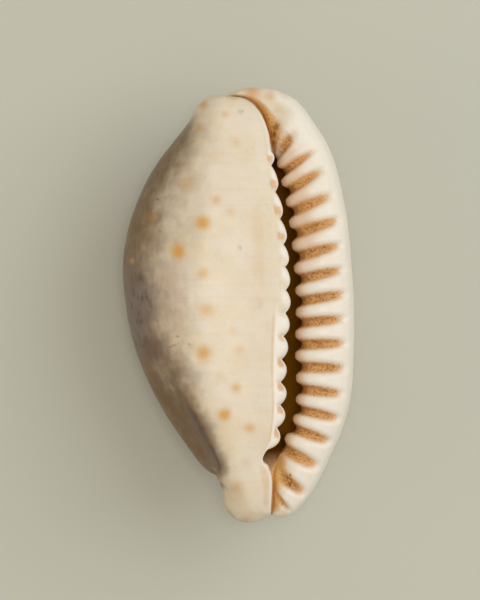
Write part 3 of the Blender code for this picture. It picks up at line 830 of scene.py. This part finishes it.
class CowrieShellColours(bpy.types.PropertyGroup):
    """Colours of the shell's enamel."""

    cream: colour_property("Cream", "Main colour of the enamel", "#e8d9c1")
    warm_cream: colour_property("Warm cream", "Warmer clouds in the enamel", "#e4d0ae")
    rubbed_white: colour_property("Rubbed white", "Crests of the teeth, rubbed pale", "#f5ecdf")
    stain: colour_property("Stain", "Dirt in the grooves", "#d8984e")
    pale_grain: colour_property("Pale grain", "Bare grains in the grooves", "#e0b27a")
    # Dark brown of thick dirt and pits, also used for the painted shade in the grooves near the slit and the
    # painted shadow line along each groove
    deep_stain: colour_property("Deep stain", "Thick dirt near the slit", "#855012")
    # Thin stain of the canals, painted brighter than it is as painted light against the canals' shade
    canal_stain_and_painted_light: colour_property("Canal yellow", "Thin clean stain in the canals", "#f6c97c")
    interior: colour_property("Interior", "Dark inside of the aperture", "#c88216")
    spot_orange: colour_property("Orange spots", "Blurred spots under the glaze", "#d69a30")
    blush: colour_property("Blush", "Pinkish cloud above the flank", "#c4ac94")
    # Brown of the flank's patches, also used for painted shade beside the crease and on the knob's left edge
    patch_brown_and_painted_shade: colour_property("Brown patches", "Patches on the flank", "#6e4e30")
    violet_grey: colour_property("Violet grey", "Clouds where the glaze thins", "#776760")
    # Dark violet of the flank's veins, also used for painted shade in the crease below the ledge
    dark_violet_and_painted_shade: colour_property("Dark violet", "Veins and the crease of the flank", "#4c3e3a")
    # Flank colours: the browner enamel of the flank and back, made darker as painted shade on the side away
    # from the light
    flank_tan_and_painted_shade: colour_property("Flank tan", "Browner enamel of the flank and back", "#725324")
    flank_brown_and_painted_shade: colour_property("Flank brown", "Darker mottling on the flank and back", "#5e4428")


class CowrieStageSettings(bpy.types.PropertyGroup):
    """Settings of the floor, the lights and the camera."""

    floor_colour: colour_property("Floor colour", "Colour of the pale card", "#c9c7b8")
    key_power: FloatProperty(
        name="Key light power",
        description="Power of the soft light on the right",
        default=1.5,
        unit="POWER",
    )
    top_power: FloatProperty(
        name="Top light power",
        description="Power of the small light overhead",
        default=0.58,
        unit="POWER",
    )
    fill_power: FloatProperty(
        name="Fill light power",
        description="Power of the weak low light on the left",
        default=0.2,
        unit="POWER",
    )
    room_light: FloatProperty(
        name="Room light", description="Strength of the even light from all round", default=0.5,
    )
    lens: FloatProperty(
        name="Lens", description="Focal length of the camera", default=200.0, subtype="DISTANCE_CAMERA",
    )


class COWRIE_OT_build_shell(bpy.types.Operator):
    """Build the shell in place of its plain solid"""

    bl_idname = "cowrie.build_shell"
    bl_label = "Build Cowrie Shell"

    def execute(self, context):
        sizes = context.scene.cowrie_sizes
        colours = context.scene.cowrie_colours
        shell = bpy.data.objects.new("cowrie_shell", shell_mesh("cowrie_shell", sizes))
        shell.data.materials.append(enamel_material(colours))
        shell.data.materials.append(bare_material(colours))
        context.scene.collection.objects.link(shell)
        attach(shell, "root")
        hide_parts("shell")
        return {"FINISHED"}


class COWRIE_OT_build_stage(bpy.types.Operator):
    """Build the pale floor, the soft lights and the camera straight above the shell"""

    bl_idname = "cowrie.build_stage"
    bl_label = "Build Stage"

    def execute(self, context):
        settings = context.scene.cowrie_stage
        self.build_floor(context, settings)
        self.build_lights(context, settings)
        self.build_camera(context, settings)
        context.scene.view_settings.view_transform = "Standard"
        return {"FINISHED"}

    def build_floor(self, context, settings):
        """A flat square card under the shell, three metres wide so that no edge shows."""
        half = 1.5
        corners = [(-half, -half, 0.0), (half, -half, 0.0), (half, half, 0.0), (-half, half, 0.0)]
        mesh = bpy.data.meshes.new("floor")
        mesh.from_pydata(corners, [], [(0, 1, 2, 3)])
        mesh.materials.append(floor_material(settings.floor_colour))
        floor = bpy.data.objects.new("floor", mesh)
        context.scene.collection.objects.link(floor)

    def build_lights(self, context, settings):
        """A cool soft box high on the right, a small one overhead, a weak one low on the left, and a room.

        Each lamp has a name, a power in watts, a size in metres, a colour and a place. The room is an
        even warm light from all round.
        """
        lamps = (
            ("key", settings.key_power, 0.5, (0.88, 0.95, 1.0), (0.38, 0.18, 0.42)),
            ("top", settings.top_power, 0.1, (1.0, 0.98, 0.94), (0.02, 0.02, 0.6)),
            ("fill", settings.fill_power, 0.3, (1.0, 0.9, 0.72), (-0.36, -0.08, 0.2)),
        )
        for name, power, size, colour, place in lamps:
            light = bpy.data.lights.new(name, "AREA")
            light.energy = power
            light.size = size
            light.color = colour
            lamp = bpy.data.objects.new(name, light)
            lamp.location = place
            lamp.rotation_euler = (-lamp.location.normalized()).to_track_quat("-Z", "Y").to_euler()
            context.scene.collection.objects.link(lamp)
        world = bpy.data.worlds.new("room")
        world.use_nodes = True
        background = world.node_tree.nodes["Background"]
        background.inputs["Color"].default_value = (1.0, 0.96, 0.89, 1.0)
        background.inputs["Strength"].default_value = settings.room_light
        context.scene.world = world

    def build_camera(self, context, settings):
        """A long lens looking straight down, at the distance that gives the photograph's scale."""
        sensor = 36.0
        outline_height = 13.0 * MILLIMETRE
        frame_height = IMAGE_HEIGHT / PIXELS_PER_MILLIMETRE * MILLIMETRE
        distance = frame_height * settings.lens / sensor
        data = bpy.data.cameras.new("camera")
        data.lens = settings.lens
        data.sensor_width = sensor
        data.clip_start = 0.01
        data.clip_end = 10.0
        camera = bpy.data.objects.new("camera", data)
        pixel = MILLIMETRE / PIXELS_PER_MILLIMETRE
        camera.location = (
            (IMAGE_WIDTH / 2 - SHELL_CENTRE_PIXEL[0]) * pixel,
            (SHELL_CENTRE_PIXEL[1] - IMAGE_HEIGHT / 2) * pixel,
            outline_height + distance,
        )
        context.scene.collection.objects.link(camera)
        context.scene.camera = camera


class COWRIE_PT_panel(bpy.types.Panel):
    """Sidebar panel that lists the shell's and the stage's settings, with the buttons that build them"""

    bl_idname = "COWRIE_PT_panel"
    bl_label = "Worn Cowrie Shell"
    bl_space_type = "VIEW_3D"
    bl_region_type = "UI"
    bl_category = "Cowrie"

    def draw(self, context):
        layout = self.layout
        scene = context.scene
        for settings in (scene.cowrie_sizes, scene.cowrie_colours, scene.cowrie_stage):
            box = layout.box()
            for name in settings.bl_rna.properties.keys():
                if name not in ("rna_type", "name"):
                    box.prop(settings, name)
        layout.operator(COWRIE_OT_build_stage.bl_idname)
        layout.operator(COWRIE_OT_build_shell.bl_idname)


CLASSES = (
    CowrieShellSizes,
    CowrieShellColours,
    CowrieStageSettings,
    COWRIE_OT_build_shell,
    COWRIE_OT_build_stage,
    COWRIE_PT_panel,
)


def register():
    """Register the classes and hang their settings on the scene."""
    for item in CLASSES:
        bpy.utils.register_class(item)
    bpy.types.Scene.cowrie_sizes = PointerProperty(type=CowrieShellSizes)
    bpy.types.Scene.cowrie_colours = PointerProperty(type=CowrieShellColours)
    bpy.types.Scene.cowrie_stage = PointerProperty(type=CowrieStageSettings)


def unregister():
    """Take the settings off the scene and unregister the classes."""
    del bpy.types.Scene.cowrie_stage
    del bpy.types.Scene.cowrie_colours
    del bpy.types.Scene.cowrie_sizes
    for item in reversed(CLASSES):
        bpy.utils.unregister_class(item)


def main():
    """Build the stage and the shell."""
    register()
    bpy.ops.cowrie.build_stage()
    bpy.ops.cowrie.build_shell()


if __name__ == "__main__":
    main()
